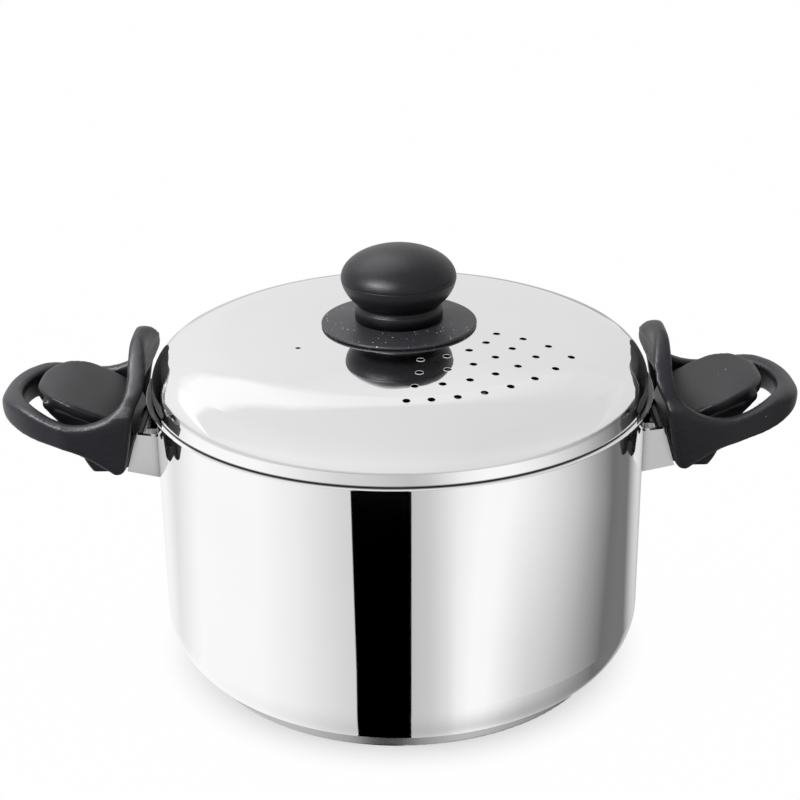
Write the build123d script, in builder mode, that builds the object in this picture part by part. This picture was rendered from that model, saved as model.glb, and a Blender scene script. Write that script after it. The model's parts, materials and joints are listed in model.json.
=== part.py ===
from build123d import *
from math import cos, radians, sin, sqrt, tan
import os

# Stainless pasta pot with a draining lid. The lid has strainer holes, and a hinged ring on
# each side handle swings in over the lid's edge to hold it down while the water is poured off.
# Millimetres, +Z up, origin at the middle of the base, handles along X.
# The right-hand pieces are modelled at +X, and the left-hand ones are their mirror images.

# Pot
pot_radius = 120.0
pot_height = 143.0
pot_wall = 0.9
corner_radius = 25.0
rim_flare = 3.8
rim_bend = 1.5

# Base
base_inset = 16.0
base_core_thickness = 3.2
base_cap_wall = 0.6
base_edge_round = 1.5
base_seam_gap = 0.05

# Lid: a shallow crown, a rounder shoulder and a tight edge round run into a straight skirt.
# Each bend starts at a slope and a share of the edge radius, and ends where the next one starts.
lid_wall = 0.8
lid_overlap = 1.6
lid_seat_gap = 0.05
lid_bend_slopes = (0.0, 5.6, 28.2, 84.0)
lid_bend_shares = (0.0, 0.702, 0.924, 0.9954)

# Strainer holes: rows of holes on arcs about the lid's centre, angles from +X. Each row turns
# and bunches a little more than the one inside it.
strainer_hole_radius = 1.85
strainer_row_radius = 48.9
strainer_row_pitch = 13.3
strainer_rows = 4
strainer_first_count = 5
strainer_near_angle = -78.6
strainer_near_turn = -3.2
strainer_far_angle = -18.2
strainer_far_turn = -0.85
strainer_bunching = 0.026
vent_hole_radius = 1.3
vent_distance = 56.3
vent_angle = -147.8

# Knob
guard_radius = 37.7
guard_edge = 1.6
guard_rise = 2.4
guard_seat_gap = 0.05
collar_radius = 21.3
collar_height = 6.6
neck_radius = 20.6
knob_radius = 27.85
collar_round = 1.0
knob_waist_height = 20.5
neck_height_share = 0.12
knob_height = 35.6
seam_rise = 0.8
seam_radius = 0.25
insert_radius = 6.0
insert_length = 14.0

# Flare of the knob from its neck to its waist, as shares of the growth in radius and in height
knob_flare_shares = ((0.40, 0.32), (0.69, 0.53), (0.89, 0.75))

# Screws and their washers
screw_radius = 2.5
screw_head_radius = 4.6
screw_head_height = 2.8
screw_slot_width = 1.2
screw_slot_depth = 1.4
slot_reach_share = 0.7
screw_gap = 0.3
thread_gap = 0.02
washer_radius = 6.5
washer_thickness = 1.0
knob_screw_grip = 10.0

handle_washer_radius = 5.0

# Bracket on the pot wall
bracket_half_width = 19.5
bracket_sheet = 1.0
bracket_top_drop = 18.8
bracket_top_rise = 1.1
bracket_top_reach = 8.5
bracket_end_depth = 19.6
bracket_floor_rise = 3.0
bracket_floor_reach = 14.2
bracket_lip = 1.6
bracket_web_reach = 5.2
weld_gap = 0.02
nut_radius = 4.8
nut_length = 3.4

# Lock ring: its side outline is measured from the pot wall and from the foot of its ears
ring_reach = 75.6
ring_height = 59.7
catch_rise = 28.1
ring_half_width = 41.5
ring_wide_reach = 32.0
ring_waist_taper = 4.3
ring_side_wall = 7.0
ring_end_wall = 11.0
catch_depth = 11.3
catch_foot_drop = 4.0
catch_floor_rise = 2.0
catch_side_wall = 7.2
catch_top_round = 4.5
lock_swing_angle = 6.0
swing_steps = 4
swing_gap = 1.2
lift_gap = 1.0

# Side outline of the ring as shares of ring_reach and ring_height, chosen by hand
ring_throat_shares = (
    (-0.077, 0.930), (-0.063, 0.880), (-0.032, 0.814), (0.000, 0.738), (0.030, 0.651), (0.061, 0.571),
    (0.085, 0.496), (0.111, 0.329), (0.126, 0.211), (0.149, 0.079),
)
ring_ear_shares = ((0.149, 0.079), (0.167, 0.018), (0.217, 0.002))
ring_belly_shares = (
    (0.217, 0.002), (0.317, 0.096), (0.450, 0.194), (0.635, 0.262), (0.847, 0.312), (0.945, 0.341),
)
ring_tip_shares = ((0.945, 0.341), (1.000, 0.429), (0.945, 0.522))
ring_saddle_shares = (
    (0.945, 0.522), (0.850, 0.541), (0.754, 0.526), (0.635, 0.477), (0.503, 0.435), (0.397, 0.435),
    (0.304, 0.462), (0.222, 0.520), (0.153, 0.624), (0.128, 0.734), (0.128, 0.828), (0.137, 0.930),
)
ring_crown_shares = ((0.137, 0.930), (0.127, 0.977), (0.098, 1.000))
ring_brow_shares = ((-0.030, 1.000), (-0.064, 0.978), (-0.077, 0.930))

# Arch of the catch as shares of its half-width and of its rise from foot to crown
arch_shares = (
    (1.0, 0.0), (0.935, 0.15), (0.875, 0.33), (0.72, 0.60), (0.59, 0.745), (0.40, 0.887), (0.24, 0.962),
    (0.0, 1.0),
)

# Hinge of the lock ring
pivot_reach = 19.5
pivot_drop = 22.5
pin_radius = 2.0
pin_ear_depth = 4.0
pin_end_gap = 0.3
running_gap = 0.05
pin_seat_gap = 0.02
ear_gap = 0.5
pin_boss_radius = 6.0

# Handle core inside the ring
core_gap = 0.15
core_half_width = 24.0
core_bottom_drop = 36.6
core_reach = 33.5
handle_screw_drop = 29.5
screw_tip_gap = 0.8
counterbore_depth = 7.0
tongue_top_drop = 1.9

# Underside of the core as shares of paddle_reach and of the height from its bottom to its crest
core_belly_shares = ((0.522, 0.0), (0.590, 0.16), (0.680, 0.43), (0.800, 0.68), (0.904, 0.85))
core_back_shares = ((0.904, 0.93), (0.591, 0.82), (0.348, 0.67), (0.195, 0.60))

# Paddle of the core: its top line falls by paddle_dip from its crest towards the pot
paddle_reach = 57.5
paddle_half_width = 29.0
paddle_wide_reach = 34.0
paddle_root_half_width = 24.5
paddle_lip = 6.5
paddle_rise = 4.2
paddle_dip = 14.5
paddle_top_shares = (
    (0.20, 1.00), (0.29, 0.86), (0.45, 0.56), (0.59, 0.31), (0.72, 0.12), (0.85, 0.02), (0.93, 0.01),
)
paddle_tip_share = 0.22

overrun = 5.0
ellipse_steps = 6

# Heights and radii that follow from the sizes above
base_radius = pot_radius - base_inset
shell_bottom = base_cap_wall + base_core_thickness
rim_radius = pot_radius + rim_flare
rim_roll = rim_bend + pot_wall
rim_centre_radius = pot_radius + rim_bend
rim_centre_height = pot_height - rim_roll
lid_edge_radius = pot_radius + lid_overlap
lid_lip_round = lid_wall / 2
lid_skirt_slope = lid_bend_slopes[-1]
lid_lip_x = lid_edge_radius - lid_lip_round * sin(radians(lid_skirt_slope))
lid_lip_reach = rim_roll + lid_seat_gap + lid_lip_round
lid_lip_z = rim_centre_height + sqrt(lid_lip_reach**2 - (rim_centre_radius - lid_lip_x) ** 2)


def arc_height(radius, centre, distance):
    """Height of a sphere about the Z axis at a distance from that axis."""
    return centre + sqrt(radius**2 - distance**2)


def save(piece, name):
    """Label one finished piece and write it."""
    piece.part.label = name
    export_step(piece.part, f"parts/{name}.step")


def save_pair(piece, name):
    """Write a right-hand piece and its mirror image on the left."""
    with BuildPart() as twin:
        mirror(piece.part, about=Plane.YZ)
    save(piece, f"right_{name}")
    save(twin, f"left_{name}")


def disc(radius, bottom, height, plane=Plane.XY, mode=Mode.ADD):
    """A round slug standing on a plane offset by its bottom."""
    with BuildSketch(plane.offset(bottom)) as slug:
        Circle(radius)
    extrude(slug.sketch, amount=height, mode=mode)


def quarter_ellipse(centre, reach, rise):
    """Smooth quarter of an ellipse from its reach along X to its rise along Y."""
    turns = [radians(90 * step / ellipse_steps) for step in range(ellipse_steps + 1)]
    points = [(centre[0] + reach * cos(turn), centre[1] + rise * sin(turn)) for turn in turns]
    Spline(*points, tangents=((0, rise / abs(rise)), (-1, 0)))


os.makedirs("parts", exist_ok=True)

# Pot shell: a rounded cup of one sheet thickness with a rolled-out pouring rim
cup_round_radius = pot_radius - corner_radius
inner_corner = corner_radius - pot_wall
lip_round = pot_wall / 2
with BuildPart() as pot_shell:
    with BuildSketch(Plane.XZ):
        with BuildLine():
            Line((0, shell_bottom), (cup_round_radius, shell_bottom))
            CenterArc((cup_round_radius, shell_bottom + corner_radius), corner_radius, -90, 90)
            Line((pot_radius, shell_bottom + corner_radius), (pot_radius, rim_centre_height))
            CenterArc((rim_centre_radius, rim_centre_height), rim_bend, 90, 90)
            Line(
                (rim_centre_radius, rim_centre_height + rim_bend),
                (rim_radius - lip_round, rim_centre_height + rim_bend),
            )
            CenterArc((rim_radius - lip_round, pot_height - lip_round), lip_round, -90, 180)
            Line((rim_radius - lip_round, pot_height), (rim_centre_radius, pot_height))
            CenterArc((rim_centre_radius, rim_centre_height), rim_roll, 90, 90)
            Line(
                (pot_radius - pot_wall, rim_centre_height),
                (pot_radius - pot_wall, shell_bottom + corner_radius),
            )
            CenterArc((cup_round_radius, shell_bottom + corner_radius), inner_corner, -90, 90)
            Line((cup_round_radius, shell_bottom + pot_wall), (0, shell_bottom + pot_wall))
            Line((0, shell_bottom + pot_wall), (0, shell_bottom))
        make_face()
    revolve(axis=Axis.Z)
save(pot_shell, "pot_shell")


def corner_height(distance):
    """Height of the outside of the pot's bottom corner at a distance from the axis."""
    across = distance - cup_round_radius
    return shell_bottom + corner_radius - sqrt(corner_radius**2 - across**2)


# Base core: aluminium disc between the shell and the cap, filling the start of the corner
core_radius = base_radius - base_cap_wall
core_mid_radius = (cup_round_radius + core_radius) / 2
with BuildPart() as base_core:
    with BuildSketch(Plane.XZ):
        with BuildLine():
            Polyline(
                (cup_round_radius, shell_bottom),
                (0, shell_bottom),
                (0, base_cap_wall),
                (core_radius, base_cap_wall),
                (core_radius, corner_height(core_radius)),
            )
            ThreePointArc(
                (core_radius, corner_height(core_radius)),
                (core_mid_radius, corner_height(core_mid_radius)),
                (cup_round_radius, shell_bottom),
            )
        make_face()
    revolve(axis=Axis.Z)
    bottom_edge = base_core.edges().filter_by(GeomType.CIRCLE).group_by(Axis.Z)[0]
    fillet(bottom_edge, base_edge_round - base_cap_wall)
save(base_core, "base_core")

# Base cap: stainless tray that wraps the core and ends against the pot's corner
with BuildPart() as base_cap:
    with BuildSketch(Plane.XZ):
        with BuildLine():
            Polyline(
                (0, 0),
                (base_radius, 0),
                (base_radius, corner_height(core_radius) - base_seam_gap),
                (core_radius, corner_height(core_radius) - base_seam_gap),
                (core_radius, base_cap_wall),
                (0, base_cap_wall),
                close=True,
            )
        make_face()
    revolve(axis=Axis.Z)
    outer_foot = base_cap.edges().filter_by(GeomType.CIRCLE).group_by(Axis.Z)[0]
    fillet(outer_foot, base_edge_round)
    inner_foot = base_cap.edges().filter_by(GeomType.CIRCLE).filter_by_position(
        Axis.Z, base_cap_wall - thread_gap, base_cap_wall + thread_gap
    )
    fillet(inner_foot, base_edge_round - base_cap_wall)
save(base_cap, "base_cap")


# Bends of the lid from its skirt up to its crown: centre, outer radius, and slope at each end
lid_bends = []
bend_x = lid_edge_radius * lid_bend_shares[-1]
bend_z = lid_lip_z + lid_lip_round * cos(radians(lid_skirt_slope))
bend_z += (lid_edge_radius - bend_x) * tan(radians(lid_skirt_slope))
for upper in reversed(range(len(lid_bend_slopes) - 1)):
    steep = radians(lid_bend_slopes[upper + 1])
    shallow = radians(lid_bend_slopes[upper])
    across = lid_edge_radius * (lid_bend_shares[upper + 1] - lid_bend_shares[upper])
    bend_radius = across / (sin(steep) - sin(shallow))
    centre = (bend_x - bend_radius * sin(steep), bend_z - bend_radius * cos(steep))
    lid_bends.append((centre, bend_radius, lid_bend_slopes[upper], lid_bend_slopes[upper + 1]))
    bend_x = centre[0] + bend_radius * sin(shallow)
    bend_z = centre[1] + bend_radius * cos(shallow)
lid_top = bend_z
lid_under = lid_top - lid_wall
crown_radius = lid_bends[-1][1]
crown_centre = lid_top - crown_radius


def lid_outline(inset):
    """Draw the lid's line from crown to lip, moved inward from its outside by inset."""
    for centre, radius, shallow, steep in lid_bends:
        CenterArc(centre, radius - inset, 90 - steep, steep - shallow)
    centre, radius, shallow, steep = lid_bends[0]
    lean = radians(lid_skirt_slope)
    skirt_top = (centre[0] + (radius - inset) * sin(lean), centre[1] + (radius - inset) * cos(lean))
    lip = (lid_lip_x + (lid_lip_round - inset) * sin(lean), lid_lip_z + (lid_lip_round - inset) * cos(lean))
    Line(skirt_top, lip)
    return (0, lid_top - inset), lip


def strainer_points(row):
    """Centres of the holes in one strainer row."""
    count = strainer_first_count + row
    radius = strainer_row_radius + row * strainer_row_pitch
    near = strainer_near_angle + row * strainer_near_turn
    far = strainer_far_angle + row**2 * strainer_far_turn
    points = []
    for hole in range(count):
        share = hole / (count - 1)
        share -= strainer_bunching * row**2 * share * (1 - share)
        angle = radians(near + (far - near) * share)
        points.append((radius * cos(angle), radius * sin(angle)))
    return points


# Lid shell: the dome and its skirt, whose rounded lip sits on the rim
screw_hole_radius = screw_radius + screw_gap
hole_depth = lid_top - lid_lip_z
with BuildPart() as lid_shell:
    with BuildSketch(Plane.XZ):
        with BuildLine():
            outer_crown, outer_lip = lid_outline(0)
            inner_crown, inner_lip = lid_outline(lid_wall)
            Line(outer_crown, inner_crown)
            lip_low = (
                lid_lip_x + lid_lip_round * cos(radians(lid_skirt_slope)),
                lid_lip_z - lid_lip_round * sin(radians(lid_skirt_slope)),
            )
            ThreePointArc(outer_lip, lip_low, inner_lip)
        make_face()
    revolve(axis=Axis.Z)
    for row in range(strainer_rows):
        with BuildSketch(Plane.XY.offset(lid_top + overrun)):
            with Locations(*strainer_points(row)):
                Circle(strainer_hole_radius)
        extrude(amount=-hole_depth, mode=Mode.SUBTRACT)
    with BuildSketch(Plane.XY.offset(lid_top + overrun)):
        with PolarLocations(vent_distance, 1, start_angle=vent_angle):
            Circle(vent_hole_radius)
    extrude(amount=-hole_depth, mode=Mode.SUBTRACT)
    disc(screw_hole_radius, lid_under - overrun, 3 * overrun, mode=Mode.SUBTRACT)
save(lid_shell, "lid_shell")


# Knob guard: thin disc that lies on the dome under the knob
guard_top = lid_top + guard_rise
guard_rim_x = guard_radius - guard_edge / 2


def guard_bottom(distance):
    """Height of the guard's underside, just clear of the dome, at a distance from the axis."""
    return arc_height(crown_radius + guard_seat_gap, crown_centre, distance)


with BuildPart() as knob_guard:
    with BuildSketch(Plane.XZ):
        with BuildLine():
            Polyline(
                (screw_hole_radius, guard_bottom(screw_hole_radius)),
                (screw_hole_radius, guard_top),
                (collar_radius, guard_top),
                (guard_rim_x, guard_bottom(guard_radius) + guard_edge),
            )
            ThreePointArc(
                (guard_rim_x, guard_bottom(guard_radius) + guard_edge),
                (guard_radius, guard_bottom(guard_radius) + guard_edge / 2),
                (guard_rim_x, guard_bottom(guard_rim_x)),
            )
            ThreePointArc(
                (guard_rim_x, guard_bottom(guard_rim_x)),
                (guard_radius / 2, guard_bottom(guard_radius / 2)),
                (screw_hole_radius, guard_bottom(screw_hole_radius)),
            )
        make_face()
    revolve(axis=Axis.Z)
save(knob_guard, "knob_guard")

# Knob grip: straight collar, slim neck and a round cap, with a blind hole for the insert
collar_top = guard_top + collar_height
knob_waist = guard_top + knob_waist_height
knob_cap = knob_height - knob_waist_height
neck_height = collar_top + (knob_waist - collar_top) * neck_height_share
flare_points = [
    (neck_radius + (knob_radius - neck_radius) * out, collar_top + (knob_waist - collar_top) * up)
    for out, up in knob_flare_shares
]
with BuildPart() as knob_grip:
    with BuildSketch(Plane.XZ):
        with BuildLine():
            Polyline((0, guard_top), (collar_radius, guard_top), (collar_radius, collar_top - collar_round))
            CenterArc((collar_radius - collar_round, collar_top - collar_round), collar_round, 0, 90)
            Spline(
                (collar_radius - collar_round, collar_top),
                (neck_radius, neck_height),
                *flare_points,
                (knob_radius, knob_waist),
                tangents=((-1, 0), (0, 1)),
            )
            quarter_ellipse((0, knob_waist), knob_radius, knob_cap)
            Line((0, guard_top + knob_height), (0, guard_top))
        make_face()
    revolve(axis=Axis.Z)
    insert_hole_depth = insert_length + thread_gap + overrun
    disc(insert_radius + thread_gap, guard_top - overrun, insert_hole_depth, mode=Mode.SUBTRACT)
    with BuildSketch(Plane.XZ):
        with Locations((knob_radius, knob_waist + seam_rise)):
            Circle(seam_radius)
    revolve(axis=Axis.Z, mode=Mode.SUBTRACT)
save(knob_grip, "knob_grip")

# Knob insert: threaded brass bush moulded into the grip
with BuildPart() as knob_insert:
    disc(insert_radius, guard_top, insert_length)
    disc(screw_radius + thread_gap, guard_top - overrun, insert_length + 2 * overrun, mode=Mode.SUBTRACT)
save(knob_insert, "knob_insert")

# Knob washer and screw, driven up from the inside of the lid
knob_washer_bottom = arc_height(crown_radius - lid_wall, crown_centre, washer_radius) - washer_thickness
with BuildPart() as knob_washer:
    disc(washer_radius, knob_washer_bottom, washer_thickness)
    disc(screw_hole_radius, knob_washer_bottom - overrun, washer_thickness + 2 * overrun, mode=Mode.SUBTRACT)
save(knob_washer, "knob_washer")


def screw(plane, reach):
    """Cross-head screw: its head lies behind the plane and its shaft runs out along the normal."""
    with BuildPart() as made:
        disc(screw_head_radius, -screw_head_height, screw_head_height, plane)
        rim = made.edges().filter_by(GeomType.CIRCLE).sort_by_distance(plane.origin)[-1]
        fillet(rim, screw_head_height / 4)
        disc(screw_radius, 0, reach, plane)
        with BuildSketch(plane.offset(-screw_head_height)) as cross:
            Rectangle(2 * screw_head_radius, screw_slot_width)
            Rectangle(screw_slot_width, 2 * screw_head_radius)
            Circle(screw_head_radius * slot_reach_share, mode=Mode.INTERSECT)
        extrude(cross.sketch, amount=screw_slot_depth, mode=Mode.SUBTRACT)
    return made


knob_screw = screw(Plane.XY.offset(knob_washer_bottom), guard_top + knob_screw_grip - knob_washer_bottom)
save(knob_screw, "knob_screw")

# Bracket: open-top channel spot-welded to the wall, with folded lips and a web for the nut
bracket_top = pot_height - bracket_top_drop
bracket_floor = bracket_top - bracket_end_depth
bracket_top_x = pot_radius + bracket_top_reach
bracket_floor_x = pot_radius + bracket_floor_reach
web_x = pot_radius + bracket_web_reach
channel_half_width = bracket_half_width - bracket_sheet
handle_screw_height = pot_height - handle_screw_drop
root_x = pot_radius - overrun
floor_slope = bracket_floor_rise / bracket_floor_reach
top_slope = bracket_top_rise / bracket_top_reach


def floor_height(x):
    """Height of the underside of the bracket at a distance from the pot's axis."""
    return bracket_floor - (bracket_floor_x - x) * floor_slope


def top_height(x):
    """Height of the bracket's top edge at a distance from the pot's axis."""
    return bracket_top - (bracket_top_x - x) * top_slope


far_x = bracket_floor_x + overrun
screw_line = Plane(origin=(0, 0, handle_screw_height), x_dir=(0, 1, 0), z_dir=(1, 0, 0))
with BuildPart() as bracket:
    with BuildSketch(Plane.XZ):
        with BuildLine():
            Polyline(
                (root_x, floor_height(root_x)),
                (bracket_floor_x, bracket_floor),
                (bracket_top_x, bracket_top),
                (root_x, top_height(root_x)),
                close=True,
            )
        make_face()
    extrude(amount=bracket_half_width, both=True)
    with BuildSketch(Plane.XZ):
        with BuildLine():
            Polyline(
                (root_x - overrun, floor_height(root_x - overrun) + bracket_sheet),
                (far_x, floor_height(far_x) + bracket_sheet),
                (far_x, top_height(far_x) - bracket_sheet),
                (root_x - overrun, top_height(root_x - overrun) - bracket_sheet),
                close=True,
            )
        make_face()
    extrude(amount=channel_half_width, both=True, mode=Mode.SUBTRACT)
    with BuildSketch(Plane.XY.offset(bracket_top + overrun)):
        with Locations((pot_radius + bracket_floor_reach / 2, 0)):
            Rectangle(4 * bracket_floor_reach, 2 * (channel_half_width - bracket_lip))
    extrude(amount=-(bracket_end_depth / 2), mode=Mode.SUBTRACT)
    with BuildSketch(Plane.YZ.offset(web_x)):
        with BuildLine():
            Polyline(
                (-bracket_half_width + bracket_sheet / 2, floor_height(web_x) + bracket_sheet / 2),
                (bracket_half_width - bracket_sheet / 2, floor_height(web_x) + bracket_sheet / 2),
                (bracket_half_width - bracket_sheet / 2, top_height(web_x) - tongue_top_drop),
                (-bracket_half_width + bracket_sheet / 2, top_height(web_x) - tongue_top_drop),
                close=True,
            )
        make_face()
    extrude(amount=bracket_sheet)
    disc(screw_hole_radius, web_x - overrun, 2 * overrun, screw_line, Mode.SUBTRACT)
    disc(pot_radius + weld_gap, 0, pot_height, mode=Mode.SUBTRACT)
save_pair(bracket, "bracket")

# Weld nut behind the bracket's web
with BuildPart() as weld_nut:
    with BuildSketch(screw_line.offset(web_x - nut_length)):
        RegularPolygon(nut_radius, 6)
        Circle(screw_radius + thread_gap, mode=Mode.SUBTRACT)
    extrude(amount=nut_length)
save_pair(weld_nut, "weld_nut")

# Lock ring: a saddle-shaped ring round the handle core with an arched catch beside the lid
ring_foot = pot_height + catch_rise - ring_height
catch_top = pot_height + catch_rise
wide_x = pot_radius + ring_wide_reach
catch_back_x = pot_radius + catch_depth
catch_front_x = pot_radius - catch_depth
pivot_x = pot_radius + pivot_reach
pivot_z = pot_height - pivot_drop


def ring_point(share):
    """Point of the ring's side outline in the XZ plane."""
    return (pot_radius + share[0] * ring_reach, ring_foot + share[1] * ring_height)


def side_half_width(x, wall):
    """Half-width of the ring in plan between the catch and its widest place."""
    back = (wide_x - x) / (wide_x - catch_front_x)
    return ring_half_width - wall - ring_waist_taper * back**2


def ring_plan(start_x, side_wall, end_wall):
    """Plan outline of the ring, or of the hole in it, from a straight inner edge to its end."""
    half = side_half_width(wide_x, side_wall)
    mid_x = (start_x + wide_x) / 2
    end_radius = ring_reach - ring_wide_reach - end_wall
    quarter_ellipse((wide_x, 0), end_radius, half)
    quarter_ellipse((wide_x, 0), end_radius, -half)
    for way in (-1, 1):
        ThreePointArc(
            (wide_x, way * half),
            (mid_x, way * side_half_width(mid_x, side_wall)),
            (start_x, way * side_half_width(start_x, side_wall)),
        )
    start_half = side_half_width(start_x, side_wall)
    Line((start_x, -start_half), (start_x, start_half))


# Space that the lid and the rim take, grown by the swing gap, which the swinging ring must leave free
with BuildPart() as swing_space:
    with BuildSketch(Plane.XZ):
        with BuildLine():
            space_crown, space_edge = lid_outline(-swing_gap)
            Polyline(
                space_edge,
                (rim_radius + swing_gap, pot_height + swing_gap),
                (rim_radius + swing_gap, rim_centre_height - swing_gap),
                (pot_radius + swing_gap, rim_centre_height - rim_roll),
                (pot_radius + swing_gap, ring_foot - overrun),
                (0, ring_foot - overrun),
                space_crown,
            )
        make_face()
    revolve(axis=Axis.Z)

lift_x = lid_edge_radius + lift_gap
catch_foot_z = pot_height - catch_foot_drop
catch_floor_z = pot_height + catch_floor_rise
arch_half = side_half_width(catch_back_x, 0)
arch_side = [(arch_half * across, catch_foot_z + (catch_top - catch_foot_z) * up) for across, up in arch_shares]
arch_far_side = [(-y, z) for y, z in reversed(arch_side)]
hinge_plane = Plane(origin=(pivot_x, 0, pivot_z), x_dir=(1, 0, 0), z_dir=(0, -1, 0))
ear_bore_half = side_half_width(pivot_x, ring_side_wall) + pin_ear_depth
with BuildPart() as lock_ring:
    with BuildSketch(Plane.XZ):
        with BuildLine():
            for shares in (ring_throat_shares, ring_belly_shares, ring_saddle_shares):
                Spline(*[ring_point(share) for share in shares])
            for shares in (ring_ear_shares, ring_tip_shares, ring_crown_shares, ring_brow_shares):
                ThreePointArc(*[ring_point(share) for share in shares])
            Line(ring_point(ring_crown_shares[-1]), ring_point(ring_brow_shares[0]))
        make_face()
    extrude(amount=ring_half_width + overrun, both=True)
    with BuildSketch(Plane.XY.offset(ring_foot - overrun)):
        with BuildLine():
            ring_plan(catch_front_x, 0, 0)
        make_face()
    extrude(amount=ring_height + 2 * overrun, mode=Mode.INTERSECT)
    with BuildSketch(Plane.YZ.offset(catch_front_x)):
        with Locations((0, catch_top)):
            Rectangle(4 * ring_half_width, 2 * (catch_top - catch_foot_z))
        with BuildLine():
            Spline(*arch_side, *arch_far_side[1:], tangents=((0, 1), (0, -1)))
            Line(arch_far_side[-1], arch_side[0])
        make_face(mode=Mode.SUBTRACT)
    extrude(amount=4 * catch_depth, mode=Mode.SUBTRACT)
    with BuildSketch(Plane.XZ):
        with BuildLine():
            Polyline(
                (lift_x, catch_top - catch_top_round),
                (lift_x, pot_height),
                (0, pot_height),
                (0, catch_top + overrun),
                (lift_x + catch_top_round, catch_top + overrun),
                (lift_x + catch_top_round, catch_top),
            )
            CenterArc((lift_x + catch_top_round, catch_top - catch_top_round), catch_top_round, 90, 90)
        make_face()
    revolve(axis=Axis.Z, mode=Mode.SUBTRACT)
    with BuildSketch(Plane.YZ.offset(catch_front_x - overrun)):
        with Locations((0, catch_floor_z - ring_height / 2)):
            Rectangle(2 * side_half_width(catch_back_x, catch_side_wall), ring_height)
    extrude(amount=2 * catch_depth + overrun, mode=Mode.SUBTRACT)
    with BuildSketch(Plane.XY.offset(ring_foot - overrun)):
        with BuildLine():
            ring_plan(catch_back_x, ring_side_wall, ring_end_wall)
        make_face()
    extrude(amount=ring_height + 2 * overrun, mode=Mode.SUBTRACT)
    hinge = Axis((pivot_x, 0, pivot_z), (0, 1, 0))
    for step in range(swing_steps + 1):
        add(swing_space.part.rotate(hinge, lock_swing_angle * step / swing_steps), mode=Mode.SUBTRACT)
    disc(pin_radius + running_gap, -ear_bore_half, 2 * ear_bore_half, hinge_plane, Mode.SUBTRACT)
save_pair(lock_ring, "lock_ring")

# Pivot pin of the lock ring, held in the core and blind in both ears
pin_half_length = ear_bore_half - pin_end_gap
with BuildPart() as pivot_pin:
    disc(pin_radius, -pin_half_length, 2 * pin_half_length, hinge_plane)
    pin_rims = pivot_pin.edges().filter_by(GeomType.CIRCLE)
    chamfer(pin_rims, pin_end_gap)
save_pair(pivot_pin, "pivot_pin")

# Handle core: a tongue in the bracket, a body that carries the pin, and the paddle on top
core_bottom = pot_height - core_bottom_drop
paddle_crest = pot_height + paddle_rise
paddle_wide_x = pot_radius + paddle_wide_reach
core_end_x = pot_radius + core_reach
screw_seat_x = core_end_x - counterbore_depth
tongue_start_x = web_x + bracket_sheet + core_gap
boss_half = side_half_width(pivot_x, ring_side_wall) - ear_gap
root_half = channel_half_width - core_gap


def paddle_point(share, drop):
    """Point of the paddle's top line, or of its underside a drop below."""
    return (pot_radius + share[0] * paddle_reach, paddle_crest - share[1] * paddle_dip - drop)


def core_point(share):
    """Point of the core's side outline from its bottom to the paddle's crest."""
    return (pot_radius + share[0] * paddle_reach, core_bottom + share[1] * (paddle_crest - core_bottom))


with BuildPart() as handle_core:
    with BuildSketch(Plane.XZ):
        with BuildLine():
            top_line = [paddle_point(share, 0) for share in paddle_top_shares]
            under_line = [paddle_point(share, paddle_lip) for share in reversed(paddle_top_shares)]
            Spline(*top_line)
            ThreePointArc(top_line[-1], paddle_point((1, paddle_tip_share), 0), under_line[0])
            Spline(*under_line)
            Line(under_line[-1], top_line[0])
        make_face()
    extrude(amount=paddle_half_width + overrun, both=True)
    with BuildSketch(Plane.XY.offset(core_bottom)):
        with BuildLine():
            paddle_end = paddle_reach - paddle_wide_reach
            quarter_ellipse((paddle_wide_x, 0), paddle_end, paddle_half_width)
            quarter_ellipse((paddle_wide_x, 0), paddle_end, -paddle_half_width)
            paddle_root_x = top_line[0][0]
            for way in (-1, 1):
                Spline(
                    (paddle_wide_x, way * paddle_half_width),
                    (paddle_root_x, way * paddle_root_half_width),
                    tangents=((-1, 0), (-1, -way)),
                )
            Line((paddle_root_x, -paddle_root_half_width), (paddle_root_x, paddle_root_half_width))
        make_face()
    extrude(amount=2 * (paddle_crest - core_bottom), mode=Mode.INTERSECT)
    with BuildSketch(Plane.XZ):
        with BuildLine():
            belly = [core_point(share) for share in core_belly_shares]
            back = [core_point(share) for share in core_back_shares]
            bottom_x = bracket_floor_x + core_gap
            Polyline(
                belly[0],
                (bottom_x, core_bottom),
                (bracket_top_x + core_gap, bracket_top),
                back[-1],
            )
            Polyline(back[-1], *reversed(back[:-1]), belly[-1])
            Spline(*reversed(belly))
        make_face()
    extrude(amount=core_half_width, both=True)
    disc(pin_boss_radius, -boss_half, 2 * boss_half, hinge_plane)
    with BuildSketch(Plane.XZ):
        with BuildLine():
            Polyline(
                (tongue_start_x, floor_height(tongue_start_x) + bracket_sheet + core_gap),
                (far_x, floor_height(far_x) + bracket_sheet + core_gap),
                (far_x, top_height(far_x) - tongue_top_drop),
                (tongue_start_x, top_height(tongue_start_x) - tongue_top_drop),
                close=True,
            )
        make_face()
    extrude(amount=root_half, both=True)
    disc(pin_radius + pin_seat_gap, -boss_half, 2 * boss_half, hinge_plane, Mode.SUBTRACT)
    disc(screw_hole_radius, tongue_start_x - overrun, paddle_reach, screw_line, Mode.SUBTRACT)
    disc(handle_washer_radius + screw_gap, screw_seat_x, 2 * counterbore_depth, screw_line, Mode.SUBTRACT)
save_pair(handle_core, "handle_core")

# Handle washer and screw, driven in from the outer end of the core
with BuildPart() as handle_washer:
    disc(handle_washer_radius, screw_seat_x, washer_thickness, screw_line)
    disc(screw_hole_radius, screw_seat_x - overrun, 2 * overrun, screw_line, Mode.SUBTRACT)
save_pair(handle_washer, "handle_washer")

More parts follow.
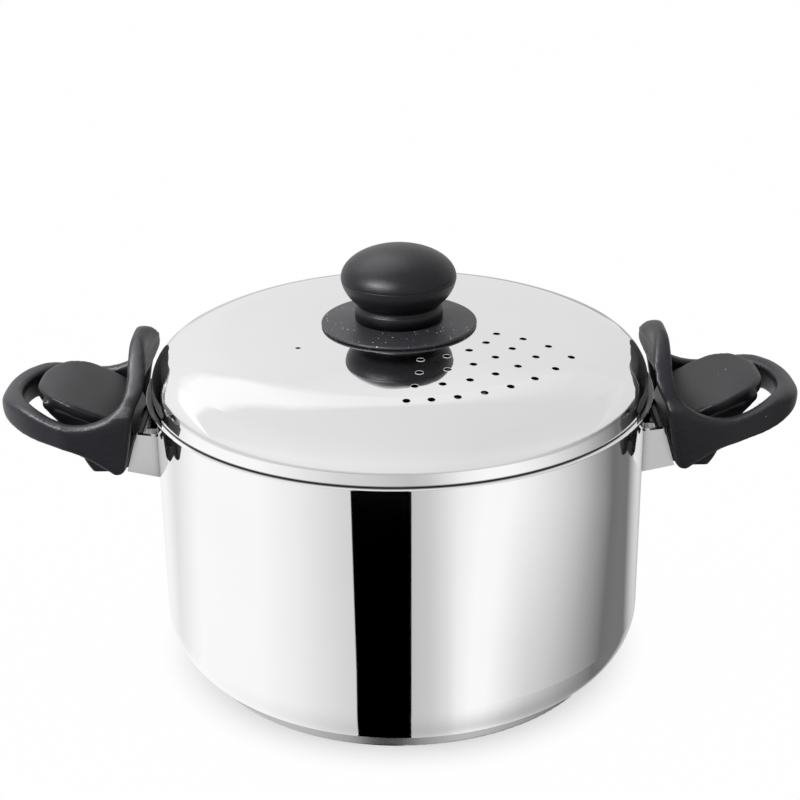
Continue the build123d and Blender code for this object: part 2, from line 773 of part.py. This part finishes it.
screw_face_x = screw_seat_x + washer_thickness
screw_tip_x = pot_radius + screw_tip_gap
handle_screw = screw(
    Plane(origin=(screw_face_x, 0, handle_screw_height), x_dir=(0, 1, 0), z_dir=(-1, 0, 0)),
    screw_face_x - screw_tip_x,
)
save_pair(handle_screw, "handle_screw")
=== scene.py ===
import json
import math

import bmesh
import bpy
from mathutils import Matrix, Vector

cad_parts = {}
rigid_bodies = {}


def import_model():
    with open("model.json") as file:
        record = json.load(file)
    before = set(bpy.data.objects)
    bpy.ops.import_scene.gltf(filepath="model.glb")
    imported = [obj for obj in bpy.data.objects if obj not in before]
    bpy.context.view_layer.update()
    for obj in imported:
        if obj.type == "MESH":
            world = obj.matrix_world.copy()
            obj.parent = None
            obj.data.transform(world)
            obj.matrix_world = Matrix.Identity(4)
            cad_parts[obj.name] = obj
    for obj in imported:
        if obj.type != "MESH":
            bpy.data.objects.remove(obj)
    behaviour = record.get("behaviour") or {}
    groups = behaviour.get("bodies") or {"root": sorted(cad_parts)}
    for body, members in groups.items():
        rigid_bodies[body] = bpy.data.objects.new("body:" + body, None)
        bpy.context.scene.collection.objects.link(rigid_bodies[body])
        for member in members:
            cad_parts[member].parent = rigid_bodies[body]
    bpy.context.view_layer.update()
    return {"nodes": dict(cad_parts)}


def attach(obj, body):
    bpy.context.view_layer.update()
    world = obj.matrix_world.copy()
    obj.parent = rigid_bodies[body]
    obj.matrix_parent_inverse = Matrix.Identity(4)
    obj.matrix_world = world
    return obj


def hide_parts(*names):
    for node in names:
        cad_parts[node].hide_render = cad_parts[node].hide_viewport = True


# Looks of the pasta pot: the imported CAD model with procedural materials, finer copies of the
# black mouldings, a studio that polished steel reflects, and the photo's camera. Sizes are in
# metres in the CAD model's frame, angles in degrees, colours in linear light, and tones are
# screen greys from 0 to 1.

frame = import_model()
scene = bpy.context.scene
nodes = frame["nodes"]

# Faces that meet at a wider angle keep a sharp edge between them
SHARP_ANGLE = 30

# Smoothing of the handle mouldings. It runs a second time at their ends, which are what stands
# above a height or reaches beyond a distance from the pot's middle, and fades in over a length.
VOXEL = 0.0008
RING_PASSES = 34
CORE_PASSES = 16
SMOOTH_SHARE = 0.5
ENDS_HEIGHT = 0.150
ENDS_HEIGHT_FADE = 0.010
ENDS_REACH = 0.172
ENDS_REACH_FADE = 0.012

# Knob: collar and flare as radius and height over the guard, height of the waist, and mould seam.
# The cap's outline goes by a step in degrees, and the whole is turned in equal steps.
COLLAR = [(0, 0), (0.0213, 0), (0.0213, 0.0056), (0.0210, 0.0063)]
FLARE = [
    (0.0203, 0.0066), (0.0205, 0.0082), (0.0235, 0.0111), (0.0256, 0.0140), (0.02705, 0.0170),
]
FLARE_STEPS = 8
WAIST_HEIGHT = 0.0205
SEAM_DEPTH = 0.0004
SEAM_HALF = 0.0003
CAP_STEP = 2
TURN_STEPS = 160
KNOB_WELD = 0.00001

# Edges of the holes in the lid, which lie between these distances from its middle. A hole's wall
# and the lid's top are told apart by the upward part of their normals.
HOLES_FROM = 0.03
HOLES_TO = 0.11
HOLE_WALL_UP = 0.2
LID_TOP_UP = 0.85
HOLE_EDGE_RADIUS = 0.00016
SHELL_WELD = 0.000002
EDGE_WELD = 0.00002

# Most values of a noise lie in this range
NOISE_RANGE = (0.3, 0.7)
# Share of their colour that the dimmer patches of a metal keep
PATCH_SHARE = 0.985
# Heights of the painted shade in the seam between the lid and the rim, reach of the painted shade
# in the folds of a bracket, and reach of the painted shade in the hollows of the black parts
LID_SEAM_SHADE = (0.1434, 0.1440)
FOLD_SHADE_REACH = 0.006
HOLLOW_SHADE_REACH = 0.02
HOLLOW_SAMPLES = 6
# Colours of the painted shade in the seam and in the folds
SEAM_SHADE = (0.06, 0.06, 0.065, 1)
FOLD_SHADE = (0.10, 0.10, 0.105, 1)

# Colours of the black moulding, of the painted shade in its hollows, and of the dust and the
# specks on it
BLACK_LOW = (0.0030, 0.0029, 0.0040, 1)
BLACK_HIGH = (0.0085, 0.0080, 0.0110, 1)
BLACK_HOLLOW_SHADE = (0.0012, 0.0012, 0.0014, 1)
DUST = (0.30, 0.30, 0.33, 1)
SPECK = (0.5, 0.5, 0.52, 1)

FLOOR_SIZE = 12
FLOOR_GREY = 0.93
# The camera sees the floor part white. The share of white grows between these distances from the
# pot's middle, so that the floor's own shade shows near the base.
FLOOR_FADE = (0.098, 0.128)
FLOOR_WHITE = (0.50, 0.985)

# Tones that the wall mirrors, by the direction's share, which studio() works out
WALL_TONES = [
    (-1.65, 0.89), (-1.19, 0.985), (-0.63, 0.98), (-0.43, 0.935), (-0.23, 0.845),
    (0.035, 0.755), (0.10, 0.785), (0.23, 0.94), (0.33, 0.985), (0.45, 0.98),
    (0.87, 0.785), (1.08, 0.64), (1.36, 0.43), (1.53, 0.45),
]
# Tones behind the pot by azimuth, and over the horizon by the angle from the front over the top
BACK_TONES = [(-180, 0.80), (-165.6, 0.93), (-144, 0.97), (144, 0.90), (165.6, 0.72), (180, 0.80)]
CEILING_TONES = [
    (0, 0.885), (18, 0.895), (54, 0.875), (99, 0.868), (144, 0.868), (151.2, 0.885), (180, 0.875),
]
BAND_TONE = 0.955
GLOSSY_STRENGTH = 1.09
SOFT_STRENGTH = 0.8

LAMP_CENTRE = Vector((0, 0, 0.12))
LAMP_DISTANCE = 1.6

CAMERA_PLACE = (0, -0.76425, 0.4532)
CAMERA_DOWN = 22.75
CAMERA_ROLL = -0.67
CAMERA_LENS = 75.33
CAMERA_SENSOR = 36


def linear(tone):
    """Linear light of a screen grey."""
    return ((tone + 0.055) / 1.055) ** 2.4 if tone > 0.04045 else tone / 12.92


def grey(value):
    return (value, value, value, 1)


class Tree:
    """Short way to add and join shader nodes."""

    def __init__(self, tree):
        self.tree = tree
        tree.nodes.clear()

    def put(self, socket, value):
        """Join a socket to another node's output, or set it to a value."""
        if isinstance(value, bpy.types.NodeSocket):
            self.tree.links.new(value, socket)
        else:
            socket.default_value = value

    def add(self, kind, inputs=None, **settings):
        node = self.tree.nodes.new("ShaderNode" + kind)
        for key, value in settings.items():
            setattr(node, key, value)
        for key, value in (inputs or {}).items():
            self.put(node.inputs[key], value)
        return node

    def math(self, operation, a, b=0.0):
        return self.add("Math", {0: a, 1: b}, operation=operation).outputs[0]

    def times(self, a, b):
        return self.math("MULTIPLY", a, b)

    def span(self, value, low, high, out_low=0.0, out_high=1.0, kind="LINEAR"):
        """Value mapped from one range to another, held at the ends."""
        ends = {0: value, 1: low, 2: high, 3: out_low, 4: out_high}
        return self.add("MapRange", ends, interpolation_type=kind).outputs[0]

    def ramp(self, value, low, high, stops):
        """Greys by a value, from stops of value and tone."""
        node = self.add("ValToRGB", {0: self.span(value, low, high)})
        points = node.color_ramp.elements
        while len(points) < len(stops):
            points.new(0.5)
        for point, (place, tone) in zip(points, stops):
            point.position = (place - low) / (high - low)
            point.color = grey(linear(tone))
        return node.outputs[0]

    def mix(self, share, a, b, kind="MIX"):
        node = self.add("Mix", {0: share}, data_type="RGBA", blend_type=kind)
        self.put(node.inputs[6], a)
        self.put(node.inputs[7], b)
        return node.outputs[2]

    def noise(self, place, scale, detail, **inputs):
        inputs = {"Vector": place, "Scale": scale, "Detail": detail, **inputs}
        return self.add("TexNoise", inputs).outputs[0]

    def openness(self, reach):
        """1 on open surfaces, falling to 0 in hollows within a reach."""
        node = self.add("AmbientOcclusion", {"Distance": reach}, samples=HOLLOW_SAMPLES)
        return node.outputs["AO"]


def new_material(name):
    material = bpy.data.materials.new(name)
    material.use_nodes = True
    return material, Tree(material.node_tree)


def metal(name, colour, rough, marks, grain=None, seam=None, folds=None):
    """Metal with faint polishing marks and uneven gloss. A seam is a height range painted dark as
    shade, and folds is the reach within which folds and welds are painted darker as shade."""
    material, t = new_material(name)
    place = t.add("TexCoord").outputs["Object"]
    fine = t.noise(place, scale=900.0, detail=3.0)
    broad = t.noise(place, scale=22.0, detail=4.0)
    uneven = t.math("ADD", t.times(broad, 0.7), t.times(fine, 0.3))
    gloss = t.math("ADD", t.times(uneven, marks), rough)
    dimmer = [part * PATCH_SHARE for part in colour]
    shade = t.mix(t.span(broad, *NOISE_RANGE), (*dimmer, 1), (*colour, 1))
    # Painted shade: a dark line along the seam between the lid and the rim, by height
    if seam:
        up = t.add("SeparateXYZ", {0: place}).outputs[2]
        shade = t.mix(t.span(up, *seam), SEAM_SHADE, shade)
    # Painted shade: darker in the folds and at the welds, in hollows within the reach
    if folds:
        shade = t.mix(t.span(t.openness(folds), 0.35, 0.75), FOLD_SHADE, shade)
    surface = t.add("BsdfPrincipled", {"Base Color": shade, "Metallic": 1.0, "Roughness": gloss})
    if grain:
        bump = t.add("Bump", {"Height": fine, "Strength": grain, "Distance": 0.00002})
        t.put(surface.inputs["Normal"], bump.outputs[0])
    t.add("OutputMaterial", {0: surface.outputs[0]})
    return material


def phenolic(name, speck_limit, dust=0.0):
    """Black moulding: satin, with painted shade in hollows, a fine grain, pale specks and some
    dust.
    """
    material, t = new_material(name)
    place = t.add("TexCoord").outputs["Object"]
    grain = t.noise(place, scale=1500.0, detail=5.0, Roughness=0.65)
    broad = t.noise(place, scale=45.0, detail=3.0)
    cells = t.add("TexVoronoi", {"Vector": place, "Scale": 480.0}, feature="F1")
    rare = t.noise(place, scale=150.0, detail=1.0)
    speck = t.span(cells.outputs["Distance"], 0.17, 0.08)
    speck = t.times(speck, t.span(rare, speck_limit, speck_limit + 0.04))
    colour = t.mix(t.span(grain, 0.35, 0.7), BLACK_LOW, BLACK_HIGH)
    # Painted shade: darker in the hollows, within a reach
    colour = t.mix(t.span(t.openness(HOLLOW_SHADE_REACH), 0.3, 0.95), BLACK_HOLLOW_SHADE, colour)
    colour = t.mix(t.span(grain, 0.25, 0.75, 0.4 * dust, 1.6 * dust), colour, DUST)
    colour = t.mix(speck, colour, SPECK)
    rough = t.span(broad, 0.25, 0.75, 0.27, 0.36)
    rough = t.math("ADD", rough, t.span(grain, *NOISE_RANGE, 0.0, 0.06))
    bump = t.add("Bump", {"Height": grain, "Strength": 0.75, "Distance": 0.00016})
    gloss = {"Roughness": rough, "IOR": 1.46, "Specular IOR Level": 0.27}
    surface = t.add("BsdfPrincipled", {"Base Color": colour, "Normal": bump.outputs[0], **gloss})
    t.add("OutputMaterial", {0: surface.outputs[0]})
    return material


steel = metal("polished_steel", (0.90, 0.90, 0.905), rough=0.015, marks=0.03)
plain = metal("plain_steel", (0.62, 0.62, 0.64), rough=0.22, marks=0.15, grain=0.3)
aluminium = metal("base_aluminium", (0.80, 0.80, 0.81), rough=0.30, marks=0.2, grain=0.4)
brass = metal("brass", (0.72, 0.55, 0.28), rough=0.20, marks=0.15, grain=0.3)
lid_steel = metal("lid_steel", (0.90, 0.90, 0.905), rough=0.015, marks=0.03, seam=LID_SEAM_SHADE)
bracket_steel = metal(
    "bracket_steel", (0.80, 0.80, 0.805), rough=0.03, marks=0.05, folds=FOLD_SHADE_REACH,
)
base_steel = metal("base_steel", (0.50, 0.50, 0.505), rough=0.22, marks=0.12, grain=0.3)
black = phenolic("black_phenolic", speck_limit=0.70)
guard_black = phenolic("guard_phenolic", speck_limit=0.50, dust=0.045)

FINISH = {
    "pot_shell": steel,
    "base_cap": base_steel,
    "lid_shell": lid_steel,
    "bracket": bracket_steel,
    "base_core": aluminium,
    "knob_insert": brass,
    "knob_guard": guard_black,
    "knob_grip": black,
    "lock_ring": black,
    "handle_core": black,
}


def choose(piece):
    """Make a piece the one that the next operators act on."""
    bpy.ops.object.select_all(action="DESELECT")
    bpy.context.view_layer.objects.active = piece
    piece.select_set(True)


def new_piece(name, mesh):
    piece = bpy.data.objects.new(name, mesh)
    scene.collection.objects.link(piece)
    choose(piece)
    return piece


def modify(piece, kind, **settings):
    """Add a modifier and apply it."""
    modifier = piece.modifiers.new(kind.lower(), kind)
    for key, value in settings.items():
        setattr(modifier, key, value)
    bpy.ops.object.modifier_apply(modifier=modifier.name)


def mesh_of_edges(name, points, edges):
    mesh = bpy.data.meshes.new(name)
    mesh.from_pydata(points, edges, [])
    return mesh


def dress(piece, material, body):
    """Give a finished piece its material, body and material slot."""
    piece.data.materials.clear()
    piece.data.materials.append(material)
    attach(piece, body)


# CAD nodes: a material each, plain steel on small fasteners, and smooth shading of round faces
for name, node in nodes.items():
    kind = name.replace("left_", "").replace("right_", "")
    node.data.materials.clear()
    node.data.materials.append(FINISH.get(kind, plain))
    choose(node)
    bpy.ops.object.shade_smooth_by_angle(angle=math.radians(SHARP_ANGLE))


def rounded(node_name, passes, body):
    """Copy of a moulded handle piece with its sharp edges rounded, standing for the CAD node."""
    piece = new_piece(node_name + "_moulding", nodes[node_name].data.copy())
    modify(piece, "REMESH", mode="VOXEL", voxel_size=VOXEL, use_smooth_shade=True)
    modify(piece, "SMOOTH", factor=SMOOTH_SHARE, iterations=passes)
    ends = piece.vertex_groups.new(name="ends")
    for vertex in piece.data.vertices:
        above = (vertex.co.z - ENDS_HEIGHT) / ENDS_HEIGHT_FADE
        beyond = (abs(vertex.co.x) - ENDS_REACH) / ENDS_REACH_FADE
        ends.add([vertex.index], min(max(above, beyond, 0.0), 1.0), "REPLACE")
    modify(piece, "SMOOTH", factor=SMOOTH_SHARE, iterations=passes, vertex_group=ends.name)
    piece.vertex_groups.clear()
    dress(piece, black, body)
    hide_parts(node_name)


def smooth_run(points, steps):
    """Points on a smooth curve through the given ones, up to the last but without it."""
    padded = [points[0], *points, points[-1]]
    run = []
    for before, here, after, beyond in zip(padded, padded[1:], padded[2:], padded[3:]):
        slope = after - before
        bend = 2 * before - 5 * here + 4 * after - beyond
        twist = 3 * here - before - 3 * after + beyond
        for step in range(steps):
            f = step / steps
            run.append(here + 0.5 * f * (slope + f * (bend + f * twist)))
    return run


def knob_profile(reach, top, waist):
    """Knob outline as radius and height over the guard: collar, flare, mould seam and cap."""
    under_seam = Vector((reach, waist - SEAM_HALF))
    outline = COLLAR + smooth_run([*map(Vector, FLARE), under_seam], FLARE_STEPS)
    outline += [under_seam, (reach - SEAM_DEPTH, waist), (reach, waist + SEAM_HALF)]
    for turn in range(2 * CAP_STEP, 90, CAP_STEP):
        angle = math.radians(turn)
        outline.append((reach * math.cos(angle), waist + (top - waist) * math.sin(angle)))
    return outline + [(0, top)]


def turned_knob():
    """Copy of the knob grip, its outline turned in finer steps, standing for the CAD node."""
    guard_top = max(corner[2] for corner in nodes["knob_guard"].bound_box)
    top = max(corner[2] for corner in nodes["knob_grip"].bound_box)
    reach = max(corner[0] for corner in nodes["knob_grip"].bound_box)
    outline = knob_profile(reach, top - guard_top, WAIST_HEIGHT)
    points = [(radius, 0, guard_top + lift) for radius, lift in outline]
    edges = [(index, index + 1) for index in range(len(points) - 1)]
    knob = new_piece("knob_grip_moulding", mesh_of_edges("knob_grip_moulding", points, edges))
    modify(
        knob, "SCREW", steps=TURN_STEPS, use_merge_vertices=True, merge_threshold=KNOB_WELD,
        use_smooth_shade=True, use_normal_calculate=True,
    )
    dress(knob, black, "lid")
    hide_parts("knob_grip")


def hole_edges():
    """Ends of the lid's mesh edges where its top meets the wall of a hole."""
    shell = bmesh.new()
    shell.from_mesh(nodes["lid_shell"].data)
    bmesh.ops.remove_doubles(shell, verts=shell.verts, dist=SHELL_WELD)
    shell.normal_update()
    ends = []
    for edge in shell.edges:
        first, last = [vertex.co for vertex in edge.verts]
        distance = (first + last).to_2d().length / 2
        ups = sorted(face.normal.z for face in edge.link_faces)
        if len(ups) == 2 and abs(ups[0]) < HOLE_WALL_UP and ups[1] > LID_TOP_UP:
            if HOLES_FROM < distance < HOLES_TO:
                ends += [tuple(first), tuple(last)]
    shell.free()
    return ends


def strainer_rims():
    """Fine bright edge round each hole in the lid, along the solid's own edges."""
    points = hole_edges()
    edges = [(index, index + 1) for index in range(0, len(points), 2)]
    rims = new_piece("strainer_rims", mesh_of_edges("strainer_rims", points, edges))
    modify(rims, "WELD", merge_threshold=EDGE_WELD)
    bpy.ops.object.convert(target="CURVE")
    rims.data.bevel_depth = HOLE_EDGE_RADIUS
    rims.data.bevel_resolution = 2
    bpy.ops.object.convert(target="MESH")
    bpy.ops.object.shade_smooth()
    dress(rims, steel, "lid")


def white_floor():
    """White paper that keeps the pot's shadow near the base and isn't mirrored in the steel."""
    bpy.ops.mesh.primitive_plane_add(size=FLOOR_SIZE, location=(0, 0, 0))
    floor = bpy.context.object
    floor.name = "floor"
    material, t = new_material("floor_white")
    paper = t.add("BsdfDiffuse", {"Color": grey(FLOOR_GREY)})
    glow = t.add("Emission", {"Color": grey(1), "Strength": 1.0})
    place = t.add("TexCoord").outputs["Object"]
    distance = t.add("VectorMath", {0: place}, operation="LENGTH").outputs["Value"]
    white = t.span(distance, *FLOOR_FADE, *FLOOR_WHITE, "SMOOTHSTEP")
    share = t.times(t.add("LightPath").outputs["Is Camera Ray"], white)
    seen = t.add("MixShader", {0: share, 1: paper.outputs[0], 2: glow.outputs[0]})
    t.add("OutputMaterial", {0: seen.outputs[0]})
    floor.data.materials.append(material)
    floor.visible_glossy = False


def front_walls(t, ahead, height, share):
    """Studio below the horizon on the viewer's side: bright walls and one dark panel."""
    lean = t.times(t.span(height, -26, -34, 0, 0.33), t.span(share, 0.17, 0.52))
    walls = t.ramp(t.math("ADD", share, lean), -2, 2, WALL_TONES)
    sink = t.times(t.span(height, -38, -80), t.span(share, 0.05, 0.45, 0.14, 0.50))
    walls = t.mix(sink, walls, (0.02, 0.02, 0.02, 1))
    # The panel's edges by share move a little with how far ahead the direction points
    panel_left = t.span(ahead, 0.787, 0.836, -0.178, -0.192)
    panel_right = t.span(ahead, 0.833, 0.896, 0.0295, 0.0385)
    panel = t.math("GREATER_THAN", share, panel_left)
    panel = t.times(panel, t.math("LESS_THAN", share, panel_right))
    panel = t.times(panel, t.math("GREATER_THAN", ahead, -0.75))
    panel = t.times(panel, t.math("LESS_THAN", height, -25.2))
    return t.mix(panel, walls, (0, 0, 0, 1))


def ceiling_and_back(t, view, across, over):
    """Room over the horizon, by the angle from the front over the top: plain grey-white, with a
    bright band high on the back wall that is strongest on the left."""
    drift = t.noise(view, scale=2.2, detail=2.0)
    wavy = t.math("ADD", over, t.span(drift, *NOISE_RANGE, -4.0, 4.0))
    wider = t.math("ADD", wavy, t.span(across, -0.05, -0.25, 0.0, 7.0))
    band = t.times(t.span(wider, 132, 138), t.span(wavy, 151, 146))
    band = t.times(band, t.span(across, 0.35, -0.25, 0.25, 1.0))
    room = t.ramp(over, 0, 180, CEILING_TONES)
    room = t.mix(band, room, grey(linear(BAND_TONE)))
    room = t.mix(1.0, room, t.span(across, 0.45, -0.75, 0.955, 1.10), "MULTIPLY")
    back_left = t.times(t.span(across, -0.03, -0.25, 0.0, 0.05), t.span(over, 120, 140))
    return t.mix(1.0, room, t.math("ADD", back_left, 1.0), "MULTIPLY")


def studio():
    """World that reflections see as a studio painted by direction, because polished steel shows
    little else. The camera sees white, and soft light comes evenly from all round."""
    world = bpy.data.worlds.new("studio")
    scene.world = world
    world.use_nodes = True
    t = Tree(world.node_tree)
    view = t.add("TexCoord").outputs["Generated"]
    way = t.add("SeparateXYZ", {0: view})
    across = way.outputs[0]
    ahead = t.times(way.outputs[1], -1.0)
    rise = way.outputs[2]
    azimuth = t.math("DEGREES", t.math("ARCTAN2", across, ahead))
    height = t.math("DEGREES", t.math("ARCSINE", rise))
    over = t.math("DEGREES", t.math("ARCTAN2", rise, ahead))
    # The wall's tones run by this share of the direction, which stays the same down the photo's
    # columns, over the wall and round the bottom corner. It is 0 towards the viewer and grows
    # towards the right-hand handle. On the right the tones lean to the viewer as the view falls.
    share = t.math("DIVIDE", across, t.math("ADD", ahead, 1.0))
    front = front_walls(t, ahead, height, share)
    behind = t.ramp(azimuth, -180, 180, BACK_TONES)
    walls = t.mix(t.span(ahead, -0.62, -0.80), front, behind)
    room = ceiling_and_back(t, view, across, over)
    painted = t.mix(t.span(height, -9, -2, kind="SMOOTHSTEP"), walls, room)
    # Thin dark line along the horizon
    line = t.times(t.span(height, -12, -9), t.span(height, -3, -6))
    painted = t.mix(t.times(line, 0.30), painted, (0.05, 0.05, 0.05, 1))
    mirrored = t.add("Background", {"Color": painted, "Strength": GLOSSY_STRENGTH})
    soft = t.add("Background", {"Color": grey(1), "Strength": SOFT_STRENGTH})
    white = t.add("Background", {"Color": grey(1), "Strength": 1.0})
    path = t.add("LightPath")
    is_glossy = path.outputs["Is Glossy Ray"]
    is_camera = path.outputs["Is Camera Ray"]
    seen = t.add("MixShader", {0: is_glossy, 1: soft.outputs[0], 2: mirrored.outputs[0]})
    seen = t.add("MixShader", {0: is_camera, 1: seen.outputs[0], 2: white.outputs[0]})
    t.add("OutputWorld", {0: seen.outputs[0]})


def softbox(name, turn, climb, size, power, receivers):
    """Area light on a sphere about the pot, at an angle from the viewer and a height angle."""
    data = bpy.data.lights.new(name, "AREA")
    data.shape = "RECTANGLE"
    data.size = size[0]
    data.size_y = size[1]
    data.energy = power
    light = bpy.data.objects.new(name, data)
    scene.collection.objects.link(light)
    turn = math.radians(turn)
    climb = math.radians(climb)
    flat = math.cos(climb)
    way = Vector((math.sin(turn) * flat, -math.cos(turn) * flat, math.sin(climb)))
    light.location = LAMP_CENTRE + LAMP_DISTANCE * way
    light.rotation_euler = way.to_track_quat("Z", "Y").to_euler()
    light.light_linking.receiver_collection = receivers


def photo_camera():
    data = bpy.data.cameras.new("camera")
    data.sensor_width = CAMERA_SENSOR
    data.lens = CAMERA_LENS
    camera = bpy.data.objects.new("camera", data)
    camera.matrix_world = (
        Matrix.Translation(CAMERA_PLACE)
        @ Matrix.Rotation(math.radians(90 - CAMERA_DOWN), 4, "X")
        @ Matrix.Rotation(math.radians(CAMERA_ROLL), 4, "Z")
    )
    scene.collection.objects.link(camera)
    scene.camera = camera


for hand in ("left", "right"):
    rounded(f"{hand}_lock_ring", RING_PASSES, f"{hand}_lock")
    rounded(f"{hand}_handle_core", CORE_PASSES, "pot")
turned_knob()
strainer_rims()
white_floor()
studio()

# The softboxes light the black parts alone, because the polished steel would mirror them. One
# of them lights the rings alone, for the bright edges that the photo shows on them.
black_parts = bpy.data.collections.new("black_parts")
rings = bpy.data.collections.new("rings")
for piece in scene.objects:
    looks = list(piece.data.materials) if piece.type == "MESH" else []
    if black in looks or guard_black in looks:
        black_parts.objects.link(piece)
        if "lock_ring" in piece.name:
            rings.objects.link(piece)
softbox("key", turn=-46, climb=32, size=(0.9, 0.5), power=52, receivers=black_parts)
softbox("top", turn=-140, climb=60, size=(1.4, 1.2), power=14, receivers=black_parts)
softbox("brow", turn=-85, climb=56, size=(0.9, 0.6), power=44, receivers=rings)

photo_camera()
scene.view_settings.view_transform = "Standard"
